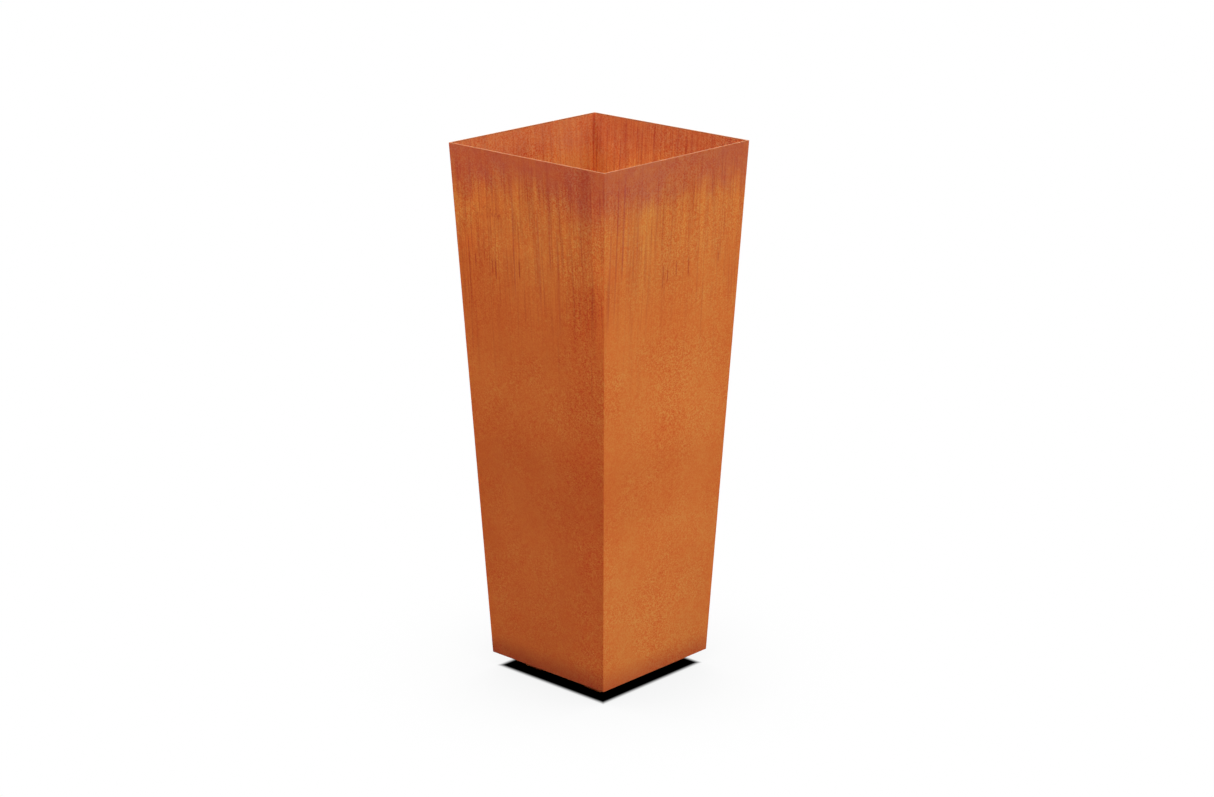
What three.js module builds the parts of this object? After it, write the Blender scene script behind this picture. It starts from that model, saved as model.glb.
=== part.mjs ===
// A tall tapered planter box of weathering steel sheet: four wall plates welded along
// their corners, a floor plate with drain holes, and four folded channel feet.
// Millimetres, +Z up, the origin on the ground under the middle of the box.
// The front faces -Y and the right side faces +X.

import * as THREE from "three";

// Overall sizes
const wallHeight = 900; // from the walls' lower edge up to the rim
const topSide = 350; // outer width across the rim
const bottomSide = 262.5; // outer width across the walls' lower edge
const sheet = 3; // thickness of every plate
const seamGap = 0.3; // clearance between pieces that meet on a slope

// Floor
const floorWeldLeg = 4; // side of the fillet weld between the floor and a wall
const drainRadius = 8;
const drainReach = 70; // from the middle of the floor to an outer drain hole

// Feet
const footHeight = 25;
const footWidth = 44.5; // across the fold lines
const footLength = 44.5; // along the fold lines
const footInset = 38.5; // from the walls' lower outer edge in to the foot
const footBendInside = 4; // inner radius of the two folds
const footWeldLeg = 3; // side of the fillet weld between a foot and the floor

// Colours of the rusted surface
const wallColor = 0xba6230;
const floorColor = 0x9c5630;
const weldColor = 0x8a4a2c;

const quarterTurn = Math.PI / 2;
const taper = (topSide - bottomSide) / 2 / wallHeight; // outward step for each unit of height
const wallRun = sheet / Math.cos(Math.atan(taper)); // level distance through a sloping wall
const floorTop = footHeight + sheet;
const rimHeight = footHeight + wallHeight;

const planter = new THREE.Group();

function outerHalf(height) {
  return bottomSide / 2 + (height - footHeight) * taper;
}

function innerHalf(height) {
  return outerHalf(height) - wallRun;
}

function rustedSteel(color) {
  return new THREE.MeshStandardMaterial({ color, roughness: 0.85, metalness: 0.1 });
}

function addPiece(name, geometry, material, parent = planter) {
  const mesh = new THREE.Mesh(geometry, material);
  mesh.name = name;
  parent.add(mesh);
  return mesh;
}

// The closed solid between two outlines with equally many corners. Both run anticlockwise
// as seen from the last one.
function loft(first, last) {
  const count = first.length;
  const positions = [...first, ...last].flatMap((point) => point.toArray());
  const triangles = [];
  for (let i = 0; i < count; i++) {
    const next = (i + 1) % count;
    triangles.push(i, next, count + next);
    triangles.push(i, count + next, count + i);
  }
  for (let i = 2; i < count; i++) {
    triangles.push(0, i, i - 1);
    triangles.push(count, count + i - 1, count + i);
  }
  const geometry = new THREE.BufferGeometry();
  geometry.setAttribute("position", new THREE.Float32BufferAttribute(positions, 3));
  geometry.setIndex(triangles);
  geometry.computeVertexNormals();
  return geometry;
}

// A level four-cornered outline
function levelOutline(left, right, front, back, height) {
  return [
    new THREE.Vector3(left, front, height),
    new THREE.Vector3(right, front, height),
    new THREE.Vector3(right, back, height),
    new THREE.Vector3(left, back, height),
  ];
}

// The front wall, cut back at both sides to leave room for the corner welds
function wallOutline(height) {
  const side = innerHalf(height) - seamGap;
  return levelOutline(-side, side, -outerHalf(height), -innerHalf(height), height);
}

// The weld that fills the outer corner between the front wall and the right wall
function cornerWeldOutline(height) {
  const inner = innerHalf(height);
  const outer = outerHalf(height);
  return levelOutline(inner, outer, -outer, -inner, height);
}

// The fillet between the floor and the front wall, as a triangle at one place along the wall
function floorWeldOutline(along) {
  const toe = floorTop + floorWeldLeg;
  const root = -innerHalf(floorTop) + seamGap;
  return [
    new THREE.Vector3(along, root, floorTop),
    new THREE.Vector3(along, root + floorWeldLeg, floorTop),
    new THREE.Vector3(along, -innerHalf(toe) + seamGap, toe),
  ];
}

function floorGeometry() {
  const half = innerHalf(footHeight) - seamGap;
  const outline = new THREE.Shape();
  outline.moveTo(-half, -half);
  outline.lineTo(half, -half);
  outline.lineTo(half, half);
  outline.lineTo(-half, half);
  outline.closePath();

  const drains = [new THREE.Vector2(0, 0)];
  for (let turn = 0; turn < 4; turn++) {
    const angle = turn * quarterTurn;
    drains.push(new THREE.Vector2(Math.cos(angle), Math.sin(angle)).multiplyScalar(drainReach));
  }
  for (const drain of drains) {
    const hole = new THREE.Path();
    hole.absarc(drain.x, drain.y, drainRadius, 0, 4 * quarterTurn, true);
    outline.holes.push(hole);
  }
  return new THREE.ExtrudeGeometry(outline, { depth: sheet, bevelEnabled: false });
}

// A channel that stands on its web, with both side flanges folded up to the floor
function footGeometry() {
  const half = footWidth / 2;
  const outerBend = footBendInside + sheet;
  const bendCentre = half - outerBend;
  const profile = new THREE.Shape();
  profile.moveTo(-half, footHeight);
  profile.lineTo(-half, outerBend);
  profile.absarc(-bendCentre, outerBend, outerBend, 2 * quarterTurn, 3 * quarterTurn, false);
  profile.lineTo(bendCentre, 0);
  profile.absarc(bendCentre, outerBend, outerBend, 3 * quarterTurn, 4 * quarterTurn, false);
  profile.lineTo(half, footHeight);
  profile.lineTo(half - sheet, footHeight);
  profile.lineTo(half - sheet, outerBend);
  profile.absarc(bendCentre, outerBend, footBendInside, 0, -quarterTurn, true);
  profile.lineTo(-bendCentre, sheet);
  profile.absarc(-bendCentre, outerBend, footBendInside, -quarterTurn, -2 * quarterTurn, true);
  profile.lineTo(sheet - half, footHeight);
  profile.closePath();

  const options = { depth: footLength, bevelEnabled: false, curveSegments: 4 };
  const geometry = new THREE.ExtrudeGeometry(profile, options);
  geometry.rotateX(quarterTurn);
  geometry.translate(0, footLength / 2, 0);
  return geometry;
}

// The fillet outside a foot's right flange, under the floor, as a triangle at one place along it
function footWeldOutline(along) {
  const flange = footWidth / 2;
  return [
    new THREE.Vector3(flange, along, footHeight),
    new THREE.Vector3(flange + footWeldLeg, along, footHeight),
    new THREE.Vector3(flange, along, footHeight - footWeldLeg),
  ];
}

function addWalls() {
  const sides = ["front", "right", "back", "left"];
  sides.forEach((side, turn) => {
    const geometry = loft(wallOutline(footHeight), wallOutline(rimHeight));
    const wall = addPiece(`${side}_wall`, geometry, rustedSteel(wallColor));
    wall.rotation.z = turn * quarterTurn;
  });
}

function addCornerWelds() {
  const corners = ["front_right", "back_right", "back_left", "front_left"];
  corners.forEach((corner, turn) => {
    const geometry = loft(cornerWeldOutline(footHeight), cornerWeldOutline(rimHeight));
    const weld = addPiece(`${corner}_corner_weld`, geometry, rustedSteel(wallColor));
    weld.rotation.z = turn * quarterTurn;
  });
}

function addFloor() {
  const floor = addPiece("floor_plate", floorGeometry(), rustedSteel(floorColor));
  floor.position.z = footHeight;
}

function addFloorWelds() {
  const run = innerHalf(floorTop) - floorWeldLeg - 2 * seamGap; // stops short of the next seam
  const sides = ["front", "right", "back", "left"];
  sides.forEach((side, turn) => {
    const geometry = loft(floorWeldOutline(-run), floorWeldOutline(run));
    const weld = addPiece(`${side}_floor_weld`, geometry, rustedSteel(weldColor));
    weld.rotation.z = turn * quarterTurn;
  });
}

function addFeet() {
  const centreX = bottomSide / 2 - footInset - footWidth / 2;
  const centreY = bottomSide / 2 - footInset - footLength / 2;
  for (const [depthName, depth] of [["front", -1], ["back", 1]]) {
    for (const [sideName, side] of [["left", -1], ["right", 1]]) {
      const name = `${depthName}_${sideName}_foot`;
      const group = new THREE.Group();
      group.position.set(side * centreX, depth * centreY, 0);
      addPiece(name, footGeometry(), rustedSteel(wallColor), group);
      for (const [flangeName, turn] of [["right", 0], ["left", 2]]) {
        const geometry = loft(footWeldOutline(-footLength / 2), footWeldOutline(footLength / 2));
        const weld = addPiece(`${name}_${flangeName}_weld`, geometry, rustedSteel(weldColor), group);
        weld.rotation.z = turn * quarterTurn;
      }
      planter.add(group);
    }
  }
}

addWalls();
addCornerWelds();
addFloor();
addFloorWelds();
addFeet();

export default planter;
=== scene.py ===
"""Looks of a tall tapered planter box in weathering steel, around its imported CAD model.

The walls are rebuilt as rolled sheets with softened cut edges, the corner seams as ground weld
metal and the inner welds as rippled beads. All of it is rusted with node materials. Lengths are in
metres, and in millimetres where they describe the rust.
"""

import math

import bpy
from mathutils import Matrix, Vector, noise
from mathutils.geometry import delaunay_2d_cdt


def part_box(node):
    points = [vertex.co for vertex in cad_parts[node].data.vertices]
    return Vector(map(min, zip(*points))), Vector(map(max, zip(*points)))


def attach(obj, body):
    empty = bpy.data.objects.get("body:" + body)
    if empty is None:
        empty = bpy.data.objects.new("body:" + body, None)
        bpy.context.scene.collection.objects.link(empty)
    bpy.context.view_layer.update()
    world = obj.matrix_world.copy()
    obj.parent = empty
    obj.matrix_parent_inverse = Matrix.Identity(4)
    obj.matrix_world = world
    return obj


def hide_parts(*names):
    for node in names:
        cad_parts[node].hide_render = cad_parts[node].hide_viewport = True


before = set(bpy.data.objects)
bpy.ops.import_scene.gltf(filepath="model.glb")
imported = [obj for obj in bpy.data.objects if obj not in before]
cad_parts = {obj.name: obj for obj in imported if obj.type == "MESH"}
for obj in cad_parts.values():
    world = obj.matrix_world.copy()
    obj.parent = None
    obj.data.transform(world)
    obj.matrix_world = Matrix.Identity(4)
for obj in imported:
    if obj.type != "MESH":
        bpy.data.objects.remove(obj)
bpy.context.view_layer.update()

MM = 0.001
QUARTER_TURN = math.pi / 2
ROOT = "root"
SIDES = ("front", "right", "back", "left")
CORNERS = ("front_right", "back_right", "back_left", "front_left")
FOOT_CORNERS = ("front_left", "front_right", "back_left", "back_right")

# Places of the three materials on a wall or seam
OUTSIDE, INSIDE, EDGE = range(3)

# Sheets
EDGE_ROUND = 0.35 * MM
EDGE_STEPS = 4
SAME_POINT = EDGE_ROUND / 100
ROW_STEP = 6 * MM
COLUMNS = 56
WAVE_HEIGHT = 0.5 * MM
WAVE_LENGTH = 170 * MM
WAVE_FADE = 40 * MM
SHARP_ANGLE = 40

# Corner seams
CORNER_ROUND = 0.9 * MM
CORNER_ROUND_CHANGE = 0.25 * MM
CORNER_CHANGE_LENGTH = 25 * MM
CORNER_STEPS = 6
ROOT_BEAD = 1.6 * MM

# Weld beads. The fullness is 0 for a flat bead and 1 for one whose section is a quarter circle.
BEAD_STEP = 0.4 * MM
BEAD_POINTS = 8
BEAD_SINK = 0.6 * MM
BEAD_FULLNESS = 0.28
BEAD_END_SHRINK = 0.9
BEAD_SWELL = 0.1
BEAD_SWELL_LENGTH = 9 * MM
BEAD_SHARP_ANGLE = 60
RIPPLE_LENGTH = 2.3 * MM
RIPPLE_DEPTH = 0.22 * MM
RIPPLE_BOW = 1.6
RIPPLE_WANDER = 0.3
RIPPLE_WANDER_LENGTH = 5 * MM
FIRST_FOOT_BEAD_SEED = 10

# Feet and floor
BEND_STEPS = 10
HOLE_STEPS = 48
MERGED_POINTS = 0.0001 * MM
SOFT_EDGE_SEGMENTS = 2

# Camera, fitted to the seven outer corners that the photograph shows
CAMERA_PLACE = (3.0557, -3.2609, 1.8553)
CAMERA_TARGET = (0.0, 0.0187, 0.4786)
CAMERA_LENS_MM = 82.0
CAMERA_SENSOR_MM = 36.0

# Lights as (name, place, target, width, watts), and how bright the world is to the object
LIGHTS = (
    ("right_light", (5.5, 0.6, 2.8), (0, 0, 0.45), 3.5, 196),
    ("top_light", (0.0, -0.3, 3.6), (0, 0, 0.4), 2.6, 170),
    ("front_light", (-0.35, -1.0, 1.8), (0, 0, 0.8), 0.8, 10.4),
    ("rear_light", (-3.6, 4.2, 2.6), (0, 0, 0.45), 3.0, 150),
)
AMBIENT = 0.05
WHITE = (1, 1, 1, 1)

# Studio floor, with the shadow that the photograph has under the object and a faint halo round it
FLOOR_HALF = 40.0
FLOOR_SINK = 0.2 * MM
FLOOR_BOUNCE = (0.6, 0.6, 0.6, 1)
SHADED_HALF = 0.6
# Where the painted shadow under the object ends, and how far the painted shade round it reaches
CONTACT_CORE = 116.5 * MM
CONTACT_EDGE = 128.5 * MM
HALO_REACH = 350 * MM
HALO_SAMPLES = 12
HALO_DARKEST_OPENNESS = 0.35
HALO_LEVEL = 0.9


def srgb(red, green, blue):
    """A colour as read from a picture, made linear"""
    values = []
    for value in (red, green, blue):
        share = value / 255
        values.append(share / 12.92 if share <= 0.04045 else ((share + 0.055) / 1.055) ** 2.4)
    return (*values, 1)


# Rust colours. The hue runs from deep red at 0 over orange to ochre at 1.
DEEP_RED_RUST = srgb(186, 66, 22)
RED_RUST = srgb(191, 81, 30)
ORANGE_RUST = srgb(198, 104, 43)
OCHRE_RUST = srgb(200, 129, 62)
DARK_RUST = srgb(140, 62, 36)
CUT_EDGE = srgb(134, 79, 42)
BEAD = srgb(132, 70, 42)
ORANGE_HUE = 0.58

# Tints that the body colour is multiplied by, as shares of its red, green and blue
BAND_TINT = (0.77, 0.56, 1.2, 1)
DARK_RUN_TINT = (0.72, 0.43, 0.62, 1)
LONG_RUN_TINT = (0.75, 0.5, 0.95, 1)
LIGHT_RUN_TINT = (1.09, 1.32, 1.25, 1)
# Painted shade along the outside's lower edge, near the ground
LOW_FRONT_PAINTED_SHADE = (0.6, 0.44, 0.66, 1)
LOW_SIDE_PAINTED_SHADE = (0.74, 0.53, 0.71, 1)
# Painted light that lifts the whole inside, with a slightly less red tint
INSIDE_PAINTED_LIGHT_TINT = (1.08, 1.11, 1.24, 1)
# Painted shade and painted light in the upright corners inside
INSIDE_CORNER_PAINTED_SHADE = (0.8, 0.45, 0.5, 1)
INSIDE_CORNER_PAINTED_LIGHT = (1.17, 1.14, 1.05, 1)
# Painted shade on the inside of the walls that face +-Y
INSIDE_BACK_PAINTED_SHADE = (0.95, 0.97, 1.0, 1)

# The walls' rust is placed in mm, down from the rim and across from the middle. In what follows,
# a zone is (middle, half length, length of each soft end, strength), a ramp is (start, end, first
# value, last value), and a pair is for the walls that face +-Y and for those that face +-X.

# Clouds, patches and blotches of other hue and shade
# The more ochre hue of the walls that face +-X is partly their own colour and partly painted light, for
# the brighter light on the right wall
HUE_PAIR = (0.42, 0.64)
CLOUD_SIZE = 150
CLOUD_HUE = 0.17
CLOUD_SHADE = 0.08
PATCH_SIZE = 64
PATCH_FRONT_ZONE = (100, 50, 50, 0.2)
PATCH_RAMP = (200, 560, 0.19, 0.35)
BLOTCH_SIZE = 24
BLOTCH_FRONT_ZONE = (110, 50, 50, 0.16)

# Grain, specks and dust, with how far each moves the hue
GRAIN_SIZE = 8
GRAIN_HUE = 0.13
SPECK_SIZE = 3.3
SPECK_HUE = 0.55
DUST_SIZE = 1.9
DUST_HUE = 0.5
DUSTY_ZONES = ((112, 42, 60, 0.55), (395, 45, 40, 0.3), (800, 40, 40, 0.2))
GRAINY_PLACE_SIZE = 75
GRAINY_PLACE_RAMP = (0.36, 0.64, 0.6, 1.12)
GRAINY_PAIR = (0.9, 0.95)
GRAINY_DOWN_RAMP = (120, 260, 0.88, 0.96)

# The wandering strip down each wall that is redder and more speckled
STRIP_PLACE_PAIR = (120, 5)
STRIP_WANDER_SIZE = 90
STRIP_WANDER = 90
STRIP_RAMP = (12, 80, 1.0, 0.0)
STRIP_GRAIN_PAIR = (0.5, 0.38)
STRIP_RED = 0.06

# Redder sides of the walls, and redder places near their top
SIDE_RAMP = (85, 150, 0.0, 1.0)
SIDE_RED_PAIR = (0.035, 0.065)
SIDE_RED_FRONT_RAMP = (100, 250, 0.0, 1.0)
TOP_RED_DOWN = (120, 50, 90)
TOP_RED_FRONT_ZONES = ((-122, 22, 30, 1.0), (10, 20, 40, -0.4))
TOP_RED_SIDE_MIDDLE = -45
TOP_RED_SIDE_RAMP = (50, 105, 0.0, 0.75)

# Changes of hue on the way down, and bands of painted light and shade down the walls that stand in for
# how the light falls off
TOP_OCHRE_RAMP = (110, 300, 0.19, 0.0)
LOW_SIDE_OCHRE_RAMP = (560, 760, 0.0, 0.08)
HUE_ZONES = ((370, 40, 90, 0.04), (560, 30, 70, -0.035))
PAINTED_LIGHT_AND_SHADE_ZONES = ((110, 40, 60, 0.035), (330, 80, 120, 0.02), (560, 30, 70, -0.03))

# The paler strip along one side of the walls that face +-Y
PALE_RAMP = (137, 152, 0.0, 1.0)
PALE_ZONE = (160, 70, 120, 0.13)

# Runs as (width, length, strength of the dark ones, strength of the light ones). Jags are (width of
# a column, range of the shifts up and down from column to column).
RUNS = ((18, 260, 0.27, 0.2), (5.5, 150, 0.52, 0.32), (3.0, 100, 0.62, 0.38))
RUN_REACH_PAIR = (270, 230)
RUN_STRENGTH_PAIR = (1.05, 0.82)
RUN_DARK_LEVELS = (0.5, 0.74)
RUN_LIGHT_LEVELS = (0.5, 0.26)
RUN_START_JAGS = ((7, 60),)
RUN_START = (10, 60)
RUN_END_JAGS = ((14, 500), (60, 300))
RUN_END_RAMP = (-160, 160, 1.0, 0.0)
INSIDE_RUN_REACH = 270
INSIDE_RUN_STRENGTH_PAIR = (1.6, 0.9)

# The broad run beside one corner of the walls that face +-Y
BROAD_RUN_ACROSS = (129, 7, 13)
BROAD_RUN_RAMP = (60, 260, 0.5, 0.0)
BROAD_RUN_STREAK = (5, 140)
BROAD_RUN_STREAK_RAMP = (0.3, 0.62, 0.55, 1.0)

# Single marks and runs as (across, down, half length, strength)
MARK_SIDE_SOFT = 2.0
MARK_HALF_WIDTH = 0.4
MARK_END_SOFT = 9
FRONT_MARKS = ((-124, 190, 5, 0.8), (-85, 195, 7, 0.8), (-78, 199, 10, 0.8), (-23, 190, 10, 0.8))
SIDE_MARKS = (
    (-26, 196, 14, 0.8), (-15, 196, 5, 0.8), (6, 187, 8, 0.8), (36, 189, 11, 0.8), (110, 186, 3, 0.8),
)
LONG_RUN_HALF_WIDTH = 1.0
LONG_RUN_END_SOFT = 60
FRONT_LONG_RUNS = ((-34, 140, 70, 0.55), (23, 165, 50, 0.5), (49, 130, 18, 0.5), (65, 190, 60, 0.36))
SIDE_LONG_RUNS = (
    (-154, 175, 50, 0.5), (-140, 135, 80, 0.4), (-125, 95, 45, 0.8), (-113, 123, 10, 0.45),
    (-91, 125, 10, 0.45),
)

# The row of small blots on the walls that face +-Y
BLOT_SIZE = 4.5
BLOT_RAMP = (0.52, 0.66, 0.0, 0.6)
BLOT_DOWN = (104, 5, 9)
BLOT_ACROSS = (-90, 32, 18)

# The band under the rim. Towards the front right corner is along x - y.
BAND_RAMP = (28, 98, 1.0, 0.0)
BAND_JAGS = ((18, 50), (5, 26))
BAND_CLOUD_SIZE = 40
BAND_CLOUD_SHIFT = 45
BAND_CORNER_RAMPS = ((120, 340, 10, -14), (30, 110, -9, 0))
BAND_FRONT_ZONES = ((-125, 15, 35, -8), (5, 20, 40, 13))
BAND_SIDE_ZONES = ((-125, 20, 30, 5),)
BAND_PATCH_SIZE = 30
BAND_PATCH_RAMP = (0.3, 0.7, 0.7, 1.03)

# The painted shade along the lower edge, by the height above it
LOW_RAMP = (-8, 46, 1.0, 0.0)
LOW_RAGGED_SIZE = 30
LOW_RAGGED_SHIFT = 16

# Painted light and shade in the upright corners inside, by the distance from the edge of the wall
CORNER_PAINTED_LIGHT_RAMP = (4, 26, 1.0, 0.0)
CORNER_PAINTED_LIGHT_DOWN_RAMP = (20, 120, 0.3, 1.0)
CORNER_PAINTED_SHADE_RAMP = (6, 10, 0.85, 0.0)

# Relief and gloss of the rusted faces
PIT_SIZE = 0.9
GRAIN_RELIEF = 0.6
RELIEF_HEIGHT = 0.12 * MM
RELIEF_STRENGTH = 0.35
FINE_RELIEF_STRENGTH = 0.5
CUT_EDGE_RELIEF = 0.08 * MM
BEAD_RELIEF = 0.06 * MM
WALL_ROUGHNESS_RAMP = (-0.15, 0.15, 0.78, 0.92)
METAL_ROUGHNESS_RAMP = (0.4, 0.65, 0.62, 0.78)
DULL_SPECULAR = 0.12

# Start and end of the soft steps that noise is spread over on the floor, feet, beads and cut edges
NOISE_LEVELS = (0.35, 0.65)

# How far apart the patterns of the plates lie in the noise
PLATE_SPREAD = 731.0


def node_points(name):
    return [vertex.co.copy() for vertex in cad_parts[name].data.vertices]


def wall_halves(height):
    """Outer half width, inner half width and half length of the front wall at its top or lower edge"""
    level = [p for p in node_points("front_wall") if abs(p.z - height) < EDGE_ROUND]
    return max(-p.y for p in level), min(-p.y for p in level), max(p.x for p in level)


LOWER_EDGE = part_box("front_wall")[0].z
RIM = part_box("front_wall")[1].z
LOW_OUTER, LOW_INNER, LOW_END = wall_halves(LOWER_EDGE)
RIM_OUTER, RIM_INNER, RIM_END = wall_halves(RIM)


def between(low, high, height):
    """A measure at a height, from its values at the lower edge and at the rim"""
    return low + (high - low) * (height - LOWER_EDGE) / (RIM - LOWER_EDGE)


def outer_half(height):
    return between(LOW_OUTER, RIM_OUTER, height)


def inner_half(height):
    return between(LOW_INNER, RIM_INNER, height)


def wall_end(height):
    return between(LOW_END, RIM_END, height)


def smooth_step(low, high, value):
    share = min(max((value - low) / (high - low), 0), 1)
    return share * share * (3 - 2 * share)


def add_object(name, data):
    added = bpy.data.objects.new(name, data)
    bpy.context.scene.collection.objects.link(added)
    return added


def add_piece(name, vertices, faces, materials, replaced, places=None, sharp_angle=SHARP_ANGLE):
    """A mesh piece that stands for the replaced CAD nodes. places gives each face's material by its
    place in materials."""
    mesh = bpy.data.meshes.new(name)
    mesh.from_pydata(vertices, [], faces)
    for material in materials:
        mesh.materials.append(material)
    if places:
        mesh.polygons.foreach_set("material_index", places)
    mesh.polygons.foreach_set("use_smooth", [True] * len(mesh.polygons))
    mesh.validate()
    mesh.update()
    mesh.set_sharp_from_angle(angle=math.radians(sharp_angle))
    piece = add_object(name, mesh)
    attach(piece, ROOT)
    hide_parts(*replaced)
    return piece


def ring_faces(rings, count):
    """Quads between successive rings of count points each, closed round"""
    faces = []
    for ring in range(rings - 1):
        start = ring * count
        above = start + count
        for i in range(count):
            j = (i + 1) % count
            faces.append((start + i, start + j, above + j, above + i))
    return faces


def end_caps(rings, count):
    """One face over the first ring and one over the last"""
    last = (rings - 1) * count
    return [tuple(range(count))[::-1], tuple(range(last, last + count))]


# Node trees

class Graph:
    """The node tree of a material or a world, built by calls that return sockets"""

    def __init__(self, owner):
        owner.use_nodes = True
        self.owner = owner
        self.nodes = owner.node_tree.nodes
        self.links = owner.node_tree.links
        self.nodes.clear()

    def node(self, kind, values=None, **settings):
        """A node with its inputs set to numbers or linked to sockets"""
        node = self.nodes.new(kind)
        for key, value in settings.items():
            setattr(node, key, value)
        for key, value in (values or {}).items():
            if isinstance(value, bpy.types.NodeSocket):
                self.links.new(value, node.inputs[key])
            else:
                node.inputs[key].default_value = value
        return node

    def math(self, operation, *numbers):
        return self.node("ShaderNodeMath", dict(enumerate(numbers)), operation=operation).outputs[0]

    def add(self, first, second):
        return self.math("ADD", first, second)

    def subtract(self, first, second):
        return self.math("SUBTRACT", first, second)

    def multiply(self, first, second):
        return self.math("MULTIPLY", first, second)

    def absolute(self, value):
        return self.math("ABSOLUTE", value)

    def add_share(self, base, share, value):
        """base plus share times value"""
        return self.math("MULTIPLY_ADD", value, share, base)

    def vector(self, x, y, z):
        return self.node("ShaderNodeCombineXYZ", {0: x, 1: y, 2: z}).outputs[0]

    def noise(self, vector, size, detail=2.0, rough=0.5):
        """Noise from 0 to 1 around 0.5, with features about as large as size in the vector's unit"""
        values = {"Vector": vector, "Scale": 1 / size, "Detail": detail, "Roughness": rough}
        return self.node("ShaderNodeTexNoise", values, noise_dimensions="3D").outputs[0]

    def swing(self, pattern):
        """A pattern from 0 to 1, moved so that it lies around 0"""
        return self.subtract(pattern, 0.5)

    def flakes(self, vector, size):
        """A random number from 0 to 1 for each flake, about as large as size in the vector's unit"""
        flake = self.node("ShaderNodeTexVoronoi", {"Vector": vector, "Scale": 1 / size})
        return self.node("ShaderNodeSeparateColor", {0: flake.outputs["Color"]}).outputs[0]

    def smooth(self, value, low, high, to_low=0.0, to_high=1.0):
        """A soft step from to_low to to_high while value goes from low to high"""
        values = {"Value": value, "From Min": low, "From Max": high, "To Min": to_low, "To Max": to_high}
        return self.node("ShaderNodeMapRange", values, interpolation_type="SMOOTHSTEP").outputs[0]

    def window(self, value, middle, half, soft, strength=1.0):
        """strength where value lies within half of middle, falling to 0 over soft beyond"""
        away = self.absolute(self.subtract(value, middle))
        return self.smooth(away, half, half + soft, strength, 0.0)

    def windows(self, value, zones):
        """The sum of the windows of several zones"""
        total = 0.0
        for zone in zones:
            total = self.add(total, self.window(value, *zone))
        return total

    def mix(self, share, first, second, blend="MIX"):
        node = self.node("ShaderNodeMix", {0: share}, data_type="RGBA", blend_type=blend)
        for index, value in ((6, first), (7, second)):
            if isinstance(value, bpy.types.NodeSocket):
                self.links.new(value, node.inputs[index])
            else:
                node.inputs[index].default_value = value
        return node.outputs[2]

    def tint(self, color, tint, share=1.0):
        """color multiplied by tint where share is 1, and unchanged where it is 0"""
        return self.mix(share, color, tint, "MULTIPLY")

    def choose(self, share, first, second):
        """first where share is 0, second where it is 1"""
        return self.add(first, self.multiply(share, self.subtract(second, first)))


class Surface(Graph):
    """A steel surface with its place in millimetres: across the plate, down from the rim, and a
    number for the way it faces, so that each plate has a pattern of its own"""

    def __init__(self, name, seed):
        super().__init__(bpy.data.materials.new(name))
        place = self.node("ShaderNodeTexCoord")
        position = self.node("ShaderNodeSeparateXYZ", {0: place.outputs["Object"]})
        normal = self.node("ShaderNodeSeparateXYZ", {0: place.outputs["Normal"]})
        x, y, z = (self.multiply(position.outputs[i], 1 / MM) for i in range(3))
        normal_x, normal_y = normal.outputs[0], normal.outputs[1]
        self.faces_x = self.math("GREATER_THAN", self.absolute(normal_x), self.absolute(normal_y))
        facing = self.by_wall(normal_y, normal_x)
        plate = self.add(self.multiply(self.faces_x, 2), self.math("GREATER_THAN", facing, 0.0))
        self.seed = self.add(self.multiply(plate, PLATE_SPREAD), seed)
        self.to_front_right = self.subtract(x, y)
        self.across = self.by_wall(x, y)
        self.drop = self.subtract(RIM / MM, z)
        self.height = self.subtract(z, LOWER_EDGE / MM)
        self.flat = self.vector(self.across, self.drop, self.seed)
        self.solid = self.vector(x, y, self.add(z, seed))
        slope = (RIM_OUTER - LOW_OUTER) / (RIM - LOWER_EDGE)
        half = self.add_share(LOW_OUTER / MM, slope, self.height)
        self.from_edge = self.subtract(half, self.absolute(self.across))

    def by_wall(self, front, side):
        """front on the walls that face +-Y, side on those that face +-X"""
        return self.choose(self.faces_x, front, side)

    def on_front(self, value):
        """value on the walls that face +-Y, 0 on the others"""
        return self.multiply(value, self.subtract(1.0, self.faces_x))

    def on_side(self, value):
        """value on the walls that face +-X, 0 on the others"""
        return self.multiply(value, self.faces_x)

    def streaks(self, width, length):
        """Noise drawn out down the plate"""
        across = self.multiply(self.across, 1 / width)
        down = self.multiply(self.drop, 1 / length)
        return self.noise(self.vector(across, down, self.seed), 1.0, detail=1.0)

    def column(self, width):
        """Noise that is the same all the way down the plate"""
        across = self.multiply(self.across, 1 / width)
        return self.noise(self.vector(across, self.seed, 0.0), 1.0, detail=1.0)

    def jagged(self, place, jags):
        """A place that is shifted from column to column, by jags of (column width, range)"""
        for width, spread in jags:
            place = self.add_share(place, spread, self.swing(self.column(width)))
        return place

    def finish(self, color, roughness, relief, relief_strength, specular=DULL_SPECULAR):
        """Closes the tree with one surface shader. relief is a height in metres."""
        values = {"Strength": relief_strength, "Distance": 1.0, "Height": relief}
        bump = self.node("ShaderNodeBump", values)
        values = {
            "Base Color": color,
            "Roughness": roughness,
            "Specular IOR Level": specular,
            "Normal": bump.outputs[0],
        }
        shader = self.node("ShaderNodeBsdfPrincipled", values)
        self.node("ShaderNodeOutputMaterial", {"Surface": shader.outputs[0]})
        return self.owner


# Rust of the walls

def speckled_strip(surface):
    """1 along the middle of each wall's speckled strip, falling to 0 beside it"""
    s = surface
    away = s.subtract(s.across, s.by_wall(*STRIP_PLACE_PAIR))
    away = s.add_share(away, STRIP_WANDER, s.swing(s.noise(s.flat, STRIP_WANDER_SIZE, detail=1.0)))
    return s.smooth(s.absolute(away), *STRIP_RAMP)


def rust_grain(surface):
    """Grain and specks, as a change of hue"""
    s = surface
    grain = s.multiply(s.swing(s.noise(s.flat, GRAIN_SIZE, detail=0.0)), GRAIN_HUE)
    specks = s.noise(s.flat, SPECK_SIZE, detail=1.0, rough=0.85)
    return s.add(grain, s.multiply(s.swing(specks), SPECK_HUE))


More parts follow.
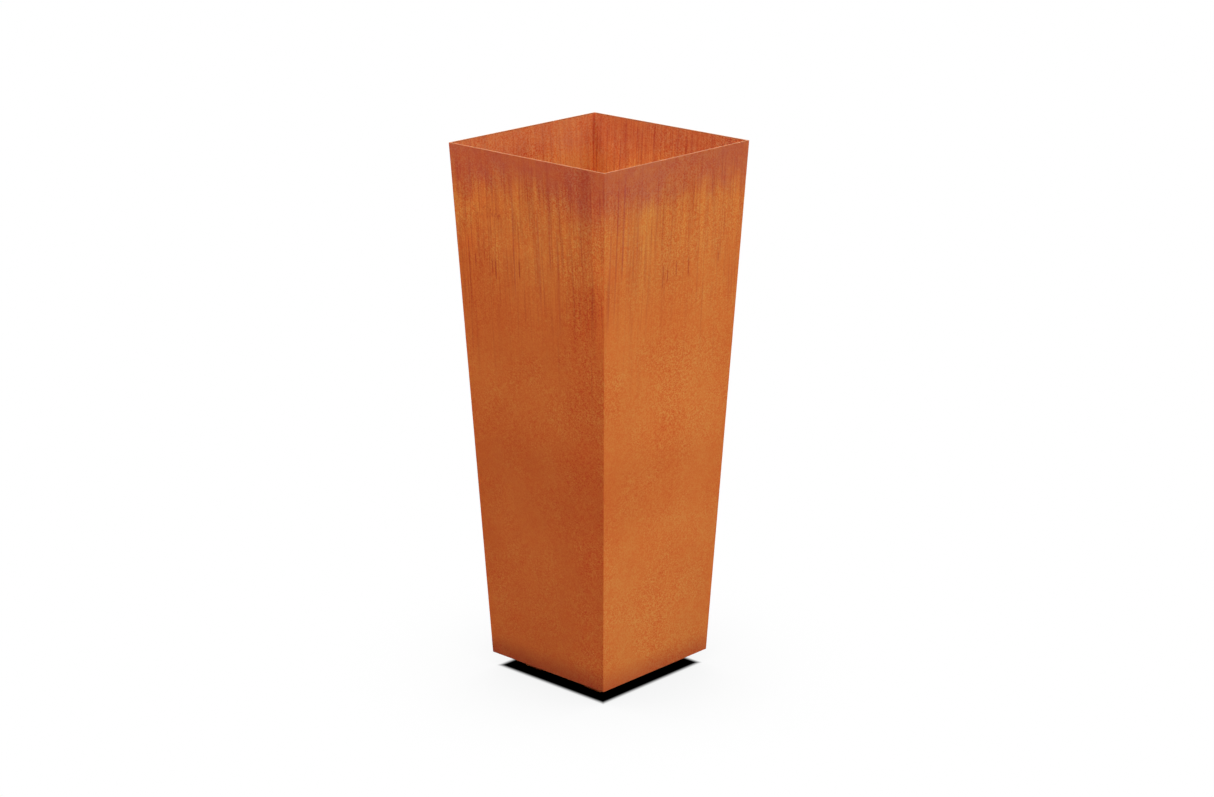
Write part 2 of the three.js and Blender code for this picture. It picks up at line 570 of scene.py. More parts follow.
def rust_dust(surface, dusty):
    """The finest grain, as a change of hue. dusty is how much more of it the dusty zones have."""
    s = surface
    dust = s.multiply(s.swing(s.flakes(s.flat, DUST_SIZE)), DUST_HUE)
    more = s.multiply(s.windows(s.drop, DUSTY_ZONES), dusty)
    return s.add_share(dust, more, dust)


def graininess(surface, strip, speckled):
    """How strong the grain is from place to place"""
    s = surface
    places = s.smooth(s.noise(s.flat, GRAINY_PLACE_SIZE, detail=1.0), *GRAINY_PLACE_RAMP)
    grainy = s.add_share(places, s.by_wall(*STRIP_GRAIN_PAIR), strip)
    front, side = GRAINY_PAIR
    grainy = s.multiply(grainy, s.by_wall(front * speckled, side * speckled))
    return s.multiply(grainy, s.smooth(s.drop, *GRAINY_DOWN_RAMP))


def rust_patches(surface):
    """Patches as a change of hue, stronger further down"""
    s = surface
    patches = s.swing(s.noise(s.flat, PATCH_SIZE, detail=2.0, rough=1.0))
    strength = s.on_front(s.window(s.drop, *PATCH_FRONT_ZONE))
    return s.multiply(patches, s.add(strength, s.smooth(s.drop, *PATCH_RAMP)))


def redness(surface, strip, top_red):
    """How much redder the walls' sides, the strip and some places near the top are. top_red is how
    much the last of these counts."""
    s = surface
    red = s.multiply(s.smooth(s.absolute(s.across), *SIDE_RAMP), s.by_wall(*SIDE_RED_PAIR))
    red = s.add_share(red, STRIP_RED, strip)
    red = s.multiply(red, s.by_wall(s.smooth(s.drop, *SIDE_RED_FRONT_RAMP), 1.0))
    front = s.windows(s.across, TOP_RED_FRONT_ZONES)
    side = s.smooth(s.absolute(s.subtract(s.across, TOP_RED_SIDE_MIDDLE)), *TOP_RED_SIDE_RAMP)
    return s.add_share(red, s.window(s.drop, *TOP_RED_DOWN, top_red), s.by_wall(front, side))


def tone_and_painted_light(surface, cloud):
    """A factor around 1 for how light the rust is, with bands of painted light and shade down the walls
    """
    s = surface
    shade = s.add_share(1.0, CLOUD_SHADE, cloud)
    # Painted light and shade: lighter and darker bands down the walls
    shade = s.add(shade, s.windows(s.drop, PAINTED_LIGHT_AND_SHADE_ZONES))
    blotches = s.on_front(s.swing(s.noise(s.flat, BLOTCH_SIZE, detail=1.0)))
    shade = s.add_share(shade, s.window(s.drop, *BLOTCH_FRONT_ZONE), blotches)
    pale = s.on_front(s.smooth(s.across, *PALE_RAMP))
    return s.add_share(shade, s.window(s.drop, *PALE_ZONE), pale)


def rust_color(surface, hue):
    """The colour of a hue from 0 to 1"""
    s = surface
    color = s.mix(s.multiply(hue, 1 / ORANGE_HUE), DEEP_RED_RUST, ORANGE_RUST)
    above = s.multiply(s.subtract(hue, ORANGE_HUE), 1 / (1 - ORANGE_HUE))
    return s.mix(above, color, OCHRE_RUST)


def patina(surface, top_red, speckled, dusty):
    """The rust's body colour and its grain. speckled is the strength of the grain, dusty that of the
    dusty zones, and top_red that of the redder places near the top."""
    s = surface
    cloud = s.swing(s.noise(s.flat, CLOUD_SIZE, detail=0.0))
    strip = speckled_strip(s)
    grain = rust_grain(s)
    # Base hue of each wall, partly painted light on the walls that face +-X
    hue = s.add(s.by_wall(*HUE_PAIR), s.add_share(rust_patches(s), CLOUD_HUE, cloud))
    hue = s.add_share(hue, graininess(s, strip, speckled), s.add(grain, rust_dust(s, dusty)))
    hue = s.subtract(hue, redness(s, strip, top_red))
    hue = s.add(hue, s.smooth(s.drop, *TOP_OCHRE_RAMP))
    hue = s.add(hue, s.on_side(s.smooth(s.drop, *LOW_SIDE_OCHRE_RAMP)))
    hue = s.add(hue, s.windows(s.drop, HUE_ZONES))
    shade = tone_and_painted_light(s, cloud)
    return s.tint(rust_color(s, hue), s.vector(shade, shade, shade)), grain


def runs(surface, color, reach, strength, at_rim, darkness):
    """Thin dark and light runs that fade out at different depths around reach. at_rim is how strong
    they still are at the rim, and darkness how strong the dark ones are beside the light ones."""
    s = surface
    below_end = s.subtract(s.drop, s.jagged(reach, RUN_END_JAGS))
    fade = s.multiply(s.smooth(below_end, *RUN_END_RAMP), strength)
    fade = s.multiply(fade, s.smooth(s.jagged(s.drop, RUN_START_JAGS), *RUN_START, at_rim, 1.0))
    for width, length, dark, light in RUNS:
        run = s.streaks(width, length)
        share = s.multiply(s.smooth(run, *RUN_DARK_LEVELS, 0.0, dark * darkness), fade)
        color = s.tint(color, DARK_RUN_TINT, share)
        share = s.multiply(s.smooth(run, *RUN_LIGHT_LEVELS, 0.0, light), fade)
        color = s.tint(color, LIGHT_RUN_TINT, share)
    return color


def single_runs(surface, places, half_width, end_soft):
    """The sum of single runs, each given as (across, down, half length, strength)"""
    s = surface
    total = 0.0
    for across, down, half_length, strength in places:
        run = s.window(s.across, across, half_width, MARK_SIDE_SOFT, strength)
        run = s.multiply(run, s.window(s.drop, down, half_length, end_soft))
        total = s.add(total, run)
    return total


def broad_run(surface):
    """How strong the broad run is, which fades on its way down"""
    s = surface
    run = s.on_front(s.window(s.across, *BROAD_RUN_ACROSS))
    run = s.multiply(run, s.smooth(s.drop, *BROAD_RUN_RAMP))
    return s.multiply(run, s.smooth(s.streaks(*BROAD_RUN_STREAK), *BROAD_RUN_STREAK_RAMP))


def blots(surface):
    """How strong the row of small blots is"""
    s = surface
    spots = s.smooth(s.noise(s.flat, BLOT_SIZE, detail=1.0), *BLOT_RAMP)
    spots = s.multiply(spots, s.window(s.drop, *BLOT_DOWN))
    return s.multiply(spots, s.on_front(s.window(s.across, *BLOT_ACROSS)))


def stains(surface, color):
    """The photograph's plainest marks: a broad run, short and long dark runs, and small blots"""
    s = surface
    short = s.by_wall(
        single_runs(s, FRONT_MARKS, MARK_HALF_WIDTH, MARK_END_SOFT),
        single_runs(s, SIDE_MARKS, MARK_HALF_WIDTH, MARK_END_SOFT),
    )
    long = s.by_wall(
        single_runs(s, FRONT_LONG_RUNS, LONG_RUN_HALF_WIDTH, LONG_RUN_END_SOFT),
        single_runs(s, SIDE_LONG_RUNS, LONG_RUN_HALF_WIDTH, LONG_RUN_END_SOFT),
    )
    color = s.tint(color, DARK_RUN_TINT, broad_run(s))
    color = s.tint(color, DARK_RUN_TINT, short)
    color = s.tint(color, LONG_RUN_TINT, long)
    return s.tint(color, DARK_RUN_TINT, blots(s))


def rim_band(surface, color, strength):
    """The dull purple band under the rim. It reaches furthest down near the front right corner, and
    its soft lower edge ends in drips."""
    s = surface
    depth = s.jagged(s.drop, BAND_JAGS)
    depth = s.add_share(depth, BAND_CLOUD_SHIFT, s.swing(s.noise(s.flat, BAND_CLOUD_SIZE, detail=1.0)))
    for ramp in BAND_CORNER_RAMPS:
        depth = s.add(depth, s.smooth(s.to_front_right, *ramp))
    front = s.windows(s.across, BAND_FRONT_ZONES)
    side = s.windows(s.across, BAND_SIDE_ZONES)
    depth = s.add(depth, s.by_wall(front, side))
    patches = s.smooth(s.noise(s.flat, BAND_PATCH_SIZE, detail=2.0, rough=0.8), *BAND_PATCH_RAMP)
    share = s.multiply(s.smooth(depth, *BAND_RAMP), s.multiply(patches, strength))
    return s.tint(color, BAND_TINT, share)


def painted_low_shade(surface, color):
    """Painted shade along the outside's lower edge, darker near the ground, with a ragged upper end"""
    s = surface
    ragged = s.swing(s.noise(s.flat, LOW_RAGGED_SIZE, detail=2.0))
    height = s.add_share(s.height, LOW_RAGGED_SHIFT, ragged)
    tint = s.mix(s.faces_x, LOW_FRONT_PAINTED_SHADE, LOW_SIDE_PAINTED_SHADE)
    return s.tint(color, tint, s.smooth(height, *LOW_RAMP))


def inside_corners(surface, color):
    """A paler stretch of painted light along the inside's upright corners, and a dark line of painted
    shade on the walls that face +-X
    """
    s = surface
    painted_corner_light = s.smooth(s.from_edge, *CORNER_PAINTED_LIGHT_RAMP)
    painted_corner_light = s.multiply(painted_corner_light, s.smooth(s.drop, *CORNER_PAINTED_LIGHT_DOWN_RAMP))
    # Painted light that offsets the shade in the corners
    color = s.tint(color, INSIDE_CORNER_PAINTED_LIGHT, painted_corner_light)
    # Painted shade, a dark line in the corners
    return s.tint(color, INSIDE_CORNER_PAINTED_SHADE, s.on_side(s.smooth(s.from_edge, *CORNER_PAINTED_SHADE_RAMP)))


def rust_relief(surface, grain):
    """The grain and fine pits as a height in metres"""
    s = surface
    pits = s.noise(s.solid, PIT_SIZE, detail=2.0, rough=0.6)
    return s.multiply(s.add(s.multiply(grain, GRAIN_RELIEF), pits), RELIEF_HEIGHT)


# Materials

def outside_steel():
    s = Surface("weathered_outside", seed=11.0)
    color, grain = patina(s, top_red=0.1, speckled=1.0, dusty=1.0)
    reach, strength = s.by_wall(*RUN_REACH_PAIR), s.by_wall(*RUN_STRENGTH_PAIR)
    color = runs(s, color, reach, strength, at_rim=0.35, darkness=1.0)
    color = stains(s, color)
    color = rim_band(s, color, strength=1.0)
    # Painted shade along the lower edge, near the ground
    color = painted_low_shade(s, color)
    roughness = s.smooth(grain, *WALL_ROUGHNESS_RAMP)
    return s.finish(color, roughness, rust_relief(s, grain), RELIEF_STRENGTH)


def inside_steel():
    s = Surface("weathered_inside", seed=57.0)
    color, grain = patina(s, top_red=-0.06, speckled=1.75, dusty=0.0)
    strength = s.by_wall(*INSIDE_RUN_STRENGTH_PAIR)
    color = runs(s, color, INSIDE_RUN_REACH, strength, at_rim=0.9, darkness=0.6)
    color = rim_band(s, color, strength=0.6)
    # Painted light over the whole inside
    color = s.tint(color, INSIDE_PAINTED_LIGHT_TINT)
    color = inside_corners(s, color)
    # Painted shade on the inside of the walls that face +-Y
    color = s.tint(color, INSIDE_BACK_PAINTED_SHADE, s.on_front(1.0))
    roughness = s.smooth(grain, *WALL_ROUGHNESS_RAMP)
    return s.finish(color, roughness, rust_relief(s, grain), RELIEF_STRENGTH)


def cut_edge_steel():
    s = Surface("cut_edge", seed=91.0)
    clouds = s.noise(s.solid, size=9, detail=3.0)
    color = s.mix(s.smooth(clouds, *NOISE_LEVELS, to_high=0.2), CUT_EDGE, OCHRE_RUST)
    fine = s.noise(s.solid, size=1.1, detail=2.0)
    color = s.mix(s.smooth(fine, low=0.45, high=0.7, to_high=0.45), color, DARK_RUST)
    roughness = s.smooth(fine, *METAL_ROUGHNESS_RAMP)
    return s.finish(color, roughness, s.multiply(fine, CUT_EDGE_RELIEF), FINE_RELIEF_STRENGTH)


def floor_steel():
    s = Surface("weathered_floor", seed=23.0)
    clouds = s.noise(s.solid, size=70, detail=3.0, rough=0.6)
    color = s.mix(s.smooth(clouds, *NOISE_LEVELS), RED_RUST, DARK_RUST)
    grain = s.noise(s.solid, size=2.6, detail=1.0, rough=0.6)
    color = s.mix(s.smooth(grain, low=0.4, high=0.75, to_high=0.35), color, OCHRE_RUST)
    roughness = s.smooth(grain, *NOISE_LEVELS, to_low=0.82, to_high=0.94)
    return s.finish(color, roughness, rust_relief(s, grain), RELIEF_STRENGTH)


def foot_steel():
    s = Surface("weathered_foot", seed=37.0)
    clouds = s.noise(s.solid, size=18, detail=3.0, rough=0.6)
    color = s.mix(s.smooth(clouds, *NOISE_LEVELS), OCHRE_RUST, RED_RUST)
    grain = s.noise(s.solid, size=4, detail=2.0, rough=0.8)
    color = s.mix(s.smooth(grain, low=0.5, high=0.68, to_high=0.5), color, DARK_RUST)
    roughness = s.smooth(grain, *NOISE_LEVELS, to_low=0.76, to_high=0.9)
    return s.finish(color, roughness, rust_relief(s, grain), RELIEF_STRENGTH, specular=0.15)


def bead_steel():
    s = Surface("weathered_bead", seed=71.0)
    clouds = s.noise(s.solid, size=12, detail=3.0)
    color = s.mix(s.smooth(clouds, *NOISE_LEVELS), BEAD, RED_RUST)
    fine = s.noise(s.solid, size=0.9, detail=2.0)
    color = s.mix(s.smooth(fine, low=0.5, high=0.7, to_high=0.4), color, DARK_RUST)
    roughness = s.smooth(fine, *METAL_ROUGHNESS_RAMP)
    return s.finish(color, roughness, s.multiply(fine, BEAD_RELIEF), FINE_RELIEF_STRENGTH, specular=0.25)


# Walls

def quarter_round(inward, height, start):
    """The rounding of a cut edge, turning back by a quarter from the angle start, in degrees"""
    points = []
    for step in range(EDGE_STEPS + 1):
        angle = math.radians(start - 90 * step / EDGE_STEPS)
        across, up = EDGE_ROUND * math.cos(angle), EDGE_ROUND * math.sin(angle)
        points.append((inward + across, height + up, EDGE))
    return points


def without_repeats(section):
    """A closed section without points that lie on the one before"""
    clean = []
    for point in section:
        if not clean or math.dist(point[:2], clean[-1][:2]) > SAME_POINT:
            clean.append(point)
    if math.dist(clean[0][:2], clean[-1][:2]) < SAME_POINT:
        clean.pop()
    return clean


def wall_section():
    """The wall's upright section as (distance in from the outer face, height, place of its material)"""
    thick = RIM_OUTER - RIM_INNER
    rows = round((RIM - LOWER_EDGE) / ROW_STEP)
    first, last = LOWER_EDGE + EDGE_ROUND, RIM - EDGE_ROUND
    heights = [first + (last - first) * i / rows for i in range(rows + 1)]
    heights.insert(1, first + 2 * EDGE_ROUND)
    heights.insert(-1, last - 2 * EDGE_ROUND)
    section = [(0.0, height, OUTSIDE) for height in heights]
    section += quarter_round(EDGE_ROUND, last, 180)
    section += quarter_round(thick - EDGE_ROUND, last, 90)
    section += [(thick, height, INSIDE) for height in reversed(heights)]
    section += quarter_round(thick - EDGE_ROUND, first, 0)
    section += quarter_round(EDGE_ROUND, first, -90)
    return without_repeats(section)


def wave(across, height, seed):
    """How far a rolled sheet stands out of its plane, fading to nothing at its edges"""
    inside = wall_end(height) - abs(across)
    fade = smooth_step(0, WAVE_FADE, inside)
    fade *= smooth_step(0, WAVE_FADE, height - LOWER_EDGE) * smooth_step(0, WAVE_FADE, RIM - height)
    return WAVE_HEIGHT * fade * noise.noise(Vector((across, height, seed)) / WAVE_LENGTH)


def wall_vertices(section, turn):
    """The section drawn along the front wall from its left end, turned by quarters to another side"""
    rotation = Matrix.Rotation(turn * QUARTER_TURN, 3, "Z")
    vertices = []
    for column in range(COLUMNS + 1):
        share = 2 * column / COLUMNS - 1
        for inward, height, _ in section:
            across = share * wall_end(height)
            out = outer_half(height) - inward + wave(across, height, turn + 1)
            vertices.append(rotation @ Vector((across, -out, height)))
    return vertices


def add_walls(materials):
    section = wall_section()
    count = len(section)
    faces = ring_faces(COLUMNS + 1, count) + end_caps(COLUMNS + 1, count)
    faces = [face[::-1] for face in faces]
    places = []
    for i in range(count):
        here, beyond = section[i][2], section[(i + 1) % count][2]
        places.append(here if here == beyond else EDGE)
    places = places * COLUMNS + [EDGE, EDGE]
    for turn, side in enumerate(SIDES):
        name, replaced = f"{side}_wall_sheet", [f"{side}_wall"]
        vertices = wall_vertices(section, turn)
        add_piece(name, vertices, faces, materials, replaced, places)


# Corner seams

def seam_outline(height, inset):
    """The front right seam's level outline and its materials' places: its ground outer corner and
    its root"""
    outer, inner, end = outer_half(height) - inset, inner_half(height) + inset, wall_end(height)
    change = noise.noise(Vector((height / CORNER_CHANGE_LENGTH, 0, 0)))
    corner = CORNER_ROUND + CORNER_ROUND_CHANGE * change
    points = [(end, -outer, OUTSIDE)]
    centre = outer - corner
    for step in range(CORNER_STEPS + 1):
        angle = math.radians(-90 + 90 * step / CORNER_STEPS)
        points.append((centre + corner * math.cos(angle), -centre + corner * math.sin(angle), OUTSIDE))
    points.append((outer, -end, EDGE))
    points.append((inner, -end, INSIDE))
    centre = inner - ROOT_BEAD
    for step in range(CORNER_STEPS + 1):
        angle = math.radians(-90 * step / CORNER_STEPS)
        x, y = centre + ROOT_BEAD * math.cos(angle), -centre + ROOT_BEAD * math.sin(angle)
        points.append((x, y, INSIDE))
    points.append((end, -inner, EDGE))
    return points


def seam_levels():
    """Heights from the lower edge up, with how far the cut edge's rounding draws each outline in"""
    low = []
    for step in range(EDGE_STEPS + 1):
        angle = math.radians(90 * step / EDGE_STEPS)
        low.append((LOWER_EDGE + EDGE_ROUND * (1 - math.cos(angle)), EDGE_ROUND * (1 - math.sin(angle))))
    rows = round((RIM - LOWER_EDGE) / ROW_STEP)
    straight = [(LOWER_EDGE + (RIM - LOWER_EDGE) * i / rows, 0.0) for i in range(1, rows)]
    high = [(RIM + LOWER_EDGE - height, inset) for height, inset in reversed(low)]
    return low + straight + high


def add_seams(materials):
    levels = seam_levels()
    outlines = [seam_outline(height, inset) for height, inset in levels]
    count = len(outlines[0])
    faces = ring_faces(len(levels), count) + end_caps(len(levels), count)
    straight = [place for _, _, place in outlines[0]] * (len(levels) - 1 - 2 * EDGE_STEPS)
    rounded = [EDGE] * (EDGE_STEPS * count)
    places = rounded + straight + rounded + [EDGE, EDGE]
    for turn, corner in enumerate(CORNERS):
        rotation = Matrix.Rotation(turn * QUARTER_TURN, 3, "Z")
        vertices = []
        for (height, _), outline in zip(levels, outlines):
            vertices += [rotation @ Vector((x, y, height)) for x, y, _ in outline]
        name, replaced = f"{corner}_corner_seam", [f"{corner}_corner_weld"]
        add_piece(name, vertices, faces, materials, replaced, places)


# Weld beads

def ripple_height(along, share, seed):
    """How far a ripple stands up, at a place along the bead and a share of the way over it"""
    bow = (share - 0.5) ** 2 * RIPPLE_LENGTH * RIPPLE_BOW
    wander = RIPPLE_WANDER * noise.noise(Vector((along / RIPPLE_WANDER_LENGTH, 0, seed)))
    phase = ((along + bow) / RIPPLE_LENGTH + wander) % 1
    return RIPPLE_DEPTH * (1 - phase) * math.sin(math.pi * share)


def bead_ring(along, size, taper, leg, lean, seed):
    """The bead's section at one place: its face, then three points sunk into the metal behind it"""
    ring = []
    for k in range(BEAD_POINTS):
        share = k / (BEAD_POINTS - 1)
        angle = QUARTER_TURN * share
        flat = size / (math.cos(angle) + math.sin(angle))
        reach = flat * (1 - BEAD_FULLNESS) + size * BEAD_FULLNESS
        reach = (reach + ripple_height(along, share, seed)) * taper
        y, z = reach * math.cos(angle), reach * math.sin(angle)
        ring.append(Vector((along, y - lean * z, z)))
    top, front = ring[-1].z, ring[0].y
    ring.append(Vector((along, -BEAD_SINK - lean * leg, top)))
    ring.append(Vector((along, -BEAD_SINK, -BEAD_SINK)))
    ring.append(Vector((along, front, -BEAD_SINK)))
    return ring


def bead_mesh(length, leg, lean, seed):
    """A fillet bead along X from -length/2 to length/2, in the corner of a level face (Y outward) and
    an upright one at Y = 0 that leans back by lean for each unit of height"""
    steps = round(length / BEAD_STEP)
    vertices = []
    for i in range(steps + 1):
        along = length * (i / steps - 0.5)
        to_end = min(along + length / 2, length / 2 - along)
        rounding = math.sqrt(1 - (1 - min(to_end / leg, 1)) ** 2)
        taper = 1 - BEAD_END_SHRINK * (1 - rounding)
        swell = 1 + BEAD_SWELL * noise.noise(Vector((along / BEAD_SWELL_LENGTH, seed, 0)))
        ring = bead_ring(along, leg * swell, taper, leg, lean, seed)
        vertices += ring
    return vertices, ring_faces(steps + 1, len(ring)) + end_caps(steps + 1, len(ring))


def add_bead(name, node, shape, placing, material, seed):
    """A bead piece for one CAD weld. shape is (length, leg, lean)."""
    vertices, faces = bead_mesh(*shape, seed)
    vertices = [placing @ vertex for vertex in vertices]
    add_piece(name, vertices, faces, (material,), [node], sharp_angle=BEAD_SHARP_ANGLE)


def add_floor_beads(material):
    floor_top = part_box("floor_plate")[1].z
    low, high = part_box("front_floor_weld")
    lean = (RIM_INNER - LOW_INNER) / (RIM - LOWER_EDGE)
    shape = (high.x - low.x, high.z - low.z, lean)
    for turn, side in enumerate(SIDES):
        rotation = Matrix.Rotation(turn * QUARTER_TURN, 4, "Z")
        placing = rotation @ Matrix.Translation((0, -inner_half(floor_top), floor_top))
        add_bead(f"{side}_floor_bead", f"{side}_floor_weld", shape, placing, material, turn + 1)


def add_foot_beads(material):
    seed = FIRST_FOOT_BEAD_SEED
    for corner in FOOT_CORNERS:
        for flange, sign in (("left", -1), ("right", 1)):
            node = f"{corner}_foot_{flange}_weld"
            low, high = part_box(node)
            shape = (high.y - low.y, high.z - low.z, 0.0)
            flange_face = low.x if sign > 0 else high.x
            centre = Vector((flange_face, (low.y + high.y) / 2, high.z))
            hanging = Matrix.Rotation(sign * QUARTER_TURN, 4, "Z") @ Matrix.Diagonal((1, -1, -1, 1))
            placing = Matrix.Translation(centre) @ hanging
            add_bead(f"{corner}_foot_{flange}_bead", node, shape, placing, material, seed)
            seed += 1


# Feet and floor

def soften_edges(piece):
    """Rounds a piece's sharp edges"""
    bevel = piece.modifiers.new("softened_edges", "BEVEL")
    bevel.width = EDGE_ROUND
    bevel.segments = SOFT_EDGE_SEGMENTS
    bevel.limit_method = "ANGLE"
    bevel.angle_limit = math.radians(SHARP_ANGLE)
    bevel.harden_normals = True


def channel_profile(half, top, thick, bend):
    """Outline of a folded channel that stands on its web, from its half width, height, sheet and
    outer bend radius"""
    centre = half - bend
    points = [(half, top)]
    for step in range(BEND_STEPS + 1):
        angle = math.radians(-90 * step / BEND_STEPS)
        points.append((centre + bend * math.cos(angle), bend + bend * math.sin(angle)))
    outer = points + [(-x, z) for x, z in reversed(points)]
    inner_bend = bend - thick
    points = [(-half + thick, top)]
    for step in range(BEND_STEPS + 1):
        angle = math.radians(180 + 90 * step / BEND_STEPS)
        points.append((-centre + inner_bend * math.cos(angle), bend + inner_bend * math.sin(angle)))
    return outer + points + [(-x, z) for x, z in reversed(points)]


def foot_bend(points, top):
    """Outer radius of a foot's bends: the flanges' side faces end where the bends begin"""
    side = max(p.x for p in points)
    return min(p.z for p in points if p.x > side - SAME_POINT and p.z < top)


def add_feet(material):
    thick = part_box("floor_plate")[1].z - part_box("floor_plate")[0].z
    for corner in FOOT_CORNERS:
        node = f"{corner}_foot"
        low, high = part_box(node)
        half, middle = (high.x - low.x) / 2, (high.x + low.x) / 2
        profile = channel_profile(half, high.z, thick, foot_bend(node_points(node), high.z))
        vertices = [Vector((middle + x, y, z)) for y in (low.y, high.y) for x, z in profile]
        faces = ring_faces(2, len(profile)) + end_caps(2, len(profile))
        foot = add_piece(f"{corner}_foot_channel", vertices, faces, (material,), [node])
        soften_edges(foot)


def drain_holes():
    """Middles and radius of the drain holes, from the CAD floor's hole edges"""
    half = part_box("floor_plate")[1].x
    inner = [p for p in node_points("floor_plate") if max(abs(p.x), abs(p.y)) < half - EDGE_ROUND]
    # Only the middle hole lies within a quarter of the half width
    radius = max(p.x for p in inner if abs(p.y) < EDGE_ROUND and p.x < half / 4)
    reach = max(p.x for p in inner) - radius
    outer = [Matrix.Rotation(turn * QUARTER_TURN, 2) @ Vector((reach, 0)) for turn in range(4)]
    return [Vector((0, 0)), *outer], radius


def floor_outlines(centres, radius):
    """The floor's points, and its outer outline and holes as lists of their numbers"""
    points = [Vector((x, y)) * LOW_INNER for x, y in ((-1, -1), (1, -1), (1, 1), (-1, 1))]
    loops = [list(range(len(points)))]
    for centre in centres:
        start = len(points)
        for step in range(HOLE_STEPS):
            angle = 2 * math.pi * step / HOLE_STEPS
            points.append(centre + Vector((math.cos(angle), math.sin(angle))) * radius)
        loops.append(list(range(start, start + HOLE_STEPS)))
    return points, loops


def place_key(point):
    """A point's place as a key, the same for points that differ by rounding only"""
    return tuple(round(c / EDGE_ROUND, 2) for c in point)


def neighbours(loop):
    """Each member of a closed loop with the next one"""
    return zip(loop, loop[1:] + loop[:1])


def add_floor(material):
    """The floor plate, drawn out over the CAD clearance so that it meets the walls"""
    low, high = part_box("floor_plate")
    centres, radius = drain_holes()
    points, loops = floor_outlines(centres, radius)
    edges = [edge for loop in loops for edge in neighbours(loop)]
    flat, _, triangles, _, _, _ = delaunay_2d_cdt(points, edges, loops, 0, MERGED_POINTS)
    solid = []
    for triangle in triangles:
        middle = sum((flat[i] for i in triangle), Vector((0, 0))) / 3
        if all((middle - centre).length > radius for centre in centres):
            solid.append(tuple(triangle))
    count = len(flat)
    vertices = [Vector((*p, height)) for height in (low.z, high.z) for p in flat]
    faces = [triangle[::-1] for triangle in solid]
    faces += [tuple(i + count for i in triangle) for triangle in solid]
    numbers = {place_key(p): i for i, p in enumerate(flat)}
    for loop in loops:
        ring = [numbers[place_key(points[i])] for i in loop]
        if loop is not loops[0]:
            ring.reverse()
        for first, second in neighbours(ring):
            faces.append((first, second, second + count, first + count))
    plate = add_piece("floor_sheet", vertices, faces, (material,), ["floor_plate"])
    soften_edges(plate)


# Studio

def seen_directly(graph):
    """1 for camera, glossy and transmitted rays, and 0 for those that light the object"""
    path = graph.node("ShaderNodeLightPath")
    through = graph.math("MAXIMUM", path.outputs["Is Glossy Ray"], path.outputs["Is Transmission Ray"])
    return graph.math("MAXIMUM", path.outputs["Is Camera Ray"], through)


def mix_shaders(graph, share, first, second):
    values = {0: share, 1: first.outputs[0], 2: second.outputs[0]}
    return graph.node("ShaderNodeMixShader", values)


def floor_shade(graph):
    """Painted shadow, black under the object, and painted shade a little darker than white where the
    object stands close
    """
    place = graph.node("ShaderNodeTexCoord")
    position = graph.node("ShaderNodeSeparateXYZ", {0: place.outputs["Object"]})
    reach = graph.math("MAXIMUM", *(graph.absolute(position.outputs[i]) for i in range(2)))
    painted_contact_shadow = graph.smooth(reach, CONTACT_CORE, CONTACT_EDGE)
    open_sky = graph.node("ShaderNodeAmbientOcclusion", {"Distance": HALO_REACH}, samples=HALO_SAMPLES)
    painted_halo_shade = graph.smooth(open_sky.outputs["AO"], HALO_DARKEST_OPENNESS, 1.0, HALO_LEVEL, 1.0)
    shade = graph.multiply(painted_contact_shadow, painted_halo_shade)
    return graph.vector(shade, shade, shade)


def studio_floor_material(name, shaded):
    """White to the camera and pale to the light, and clear from below"""
    graph = Graph(bpy.data.materials.new(name))
    seen = graph.node("ShaderNodeEmission", {"Color": floor_shade(graph) if shaded else WHITE})
    bounce = graph.node("ShaderNodeBsdfDiffuse", {"Color": FLOOR_BOUNCE})
    above = mix_shaders(graph, seen_directly(graph), bounce, seen)
    from_below = graph.node("ShaderNodeNewGeometry").outputs["Backfacing"]
    clear = graph.node("ShaderNodeBsdfTransparent")
    surface = mix_shaders(graph, from_below, above, clear)
    graph.node("ShaderNodeOutputMaterial", {"Surface": surface.outputs[0]})
    return graph.owner


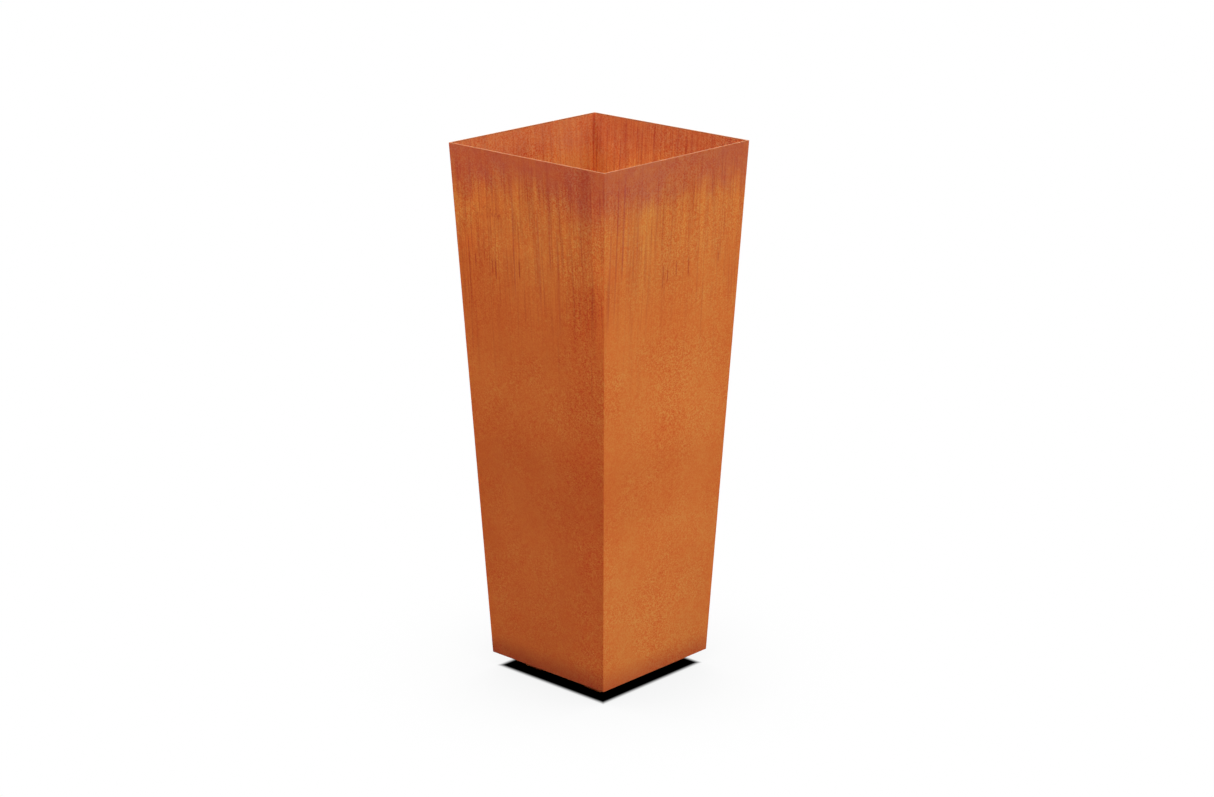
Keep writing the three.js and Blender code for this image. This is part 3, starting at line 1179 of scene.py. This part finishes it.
def add_studio_floor():
    """One sheet with a square of shaded floor in its middle, so that only that part costs time"""
    lines = (-FLOOR_HALF, -SHADED_HALF, SHADED_HALF, FLOOR_HALF)
    count = len(lines)
    points = [(x, y, -FLOOR_SINK) for y in lines for x in lines]
    corners = [row * count + column for row in range(count - 1) for column in range(count - 1)]
    faces = [(i, i + 1, i + 1 + count, i + count) for i in corners]
    mesh = bpy.data.meshes.new("studio_floor")
    mesh.from_pydata(points, [], faces)
    mesh.materials.append(studio_floor_material("studio_floor_plain", shaded=False))
    mesh.materials.append(studio_floor_material("studio_floor_shaded", shaded=True))
    mesh.polygons[len(faces) // 2].material_index = 1
    floor = add_object("studio_floor", mesh)


def aim(thing, place, target):
    """Puts a light or camera at a place and turns it towards the target"""
    thing.location = place
    thing.rotation_euler = (Vector(target) - Vector(place)).to_track_quat("-Z", "Y").to_euler()


def add_softbox(name, place, target, width, watts):
    light = bpy.data.lights.new(name, "AREA")
    light.shape = "SQUARE"
    light.size = width
    light.energy = watts
    box = add_object(name, light)
    box.visible_camera = False
    aim(box, place, target)


def add_world():
    """Dim to the object, and white where the camera sees it"""
    graph = Graph(bpy.data.worlds.new("studio"))
    ambient = graph.node("ShaderNodeBackground", {"Color": WHITE, "Strength": AMBIENT})
    white = graph.node("ShaderNodeBackground", {"Color": WHITE})
    mixed = mix_shaders(graph, seen_directly(graph), ambient, white)
    graph.node("ShaderNodeOutputWorld", {"Surface": mixed.outputs[0]})
    bpy.context.scene.world = graph.owner


def add_camera():
    data = bpy.data.cameras.new("camera")
    data.lens = CAMERA_LENS_MM
    data.sensor_width = CAMERA_SENSOR_MM
    camera = add_object("camera", data)
    aim(camera, CAMERA_PLACE, CAMERA_TARGET)
    bpy.context.scene.camera = camera


def build():
    wall_materials = (outside_steel(), inside_steel(), cut_edge_steel())
    bead = bead_steel()
    add_walls(wall_materials)
    add_seams(wall_materials)
    add_floor(floor_steel())
    add_feet(foot_steel())
    add_floor_beads(bead)
    add_foot_beads(bead)
    add_studio_floor()
    for light in LIGHTS:
        add_softbox(*light)
    add_world()
    add_camera()
    bpy.context.scene.view_settings.view_transform = "Standard"


build()
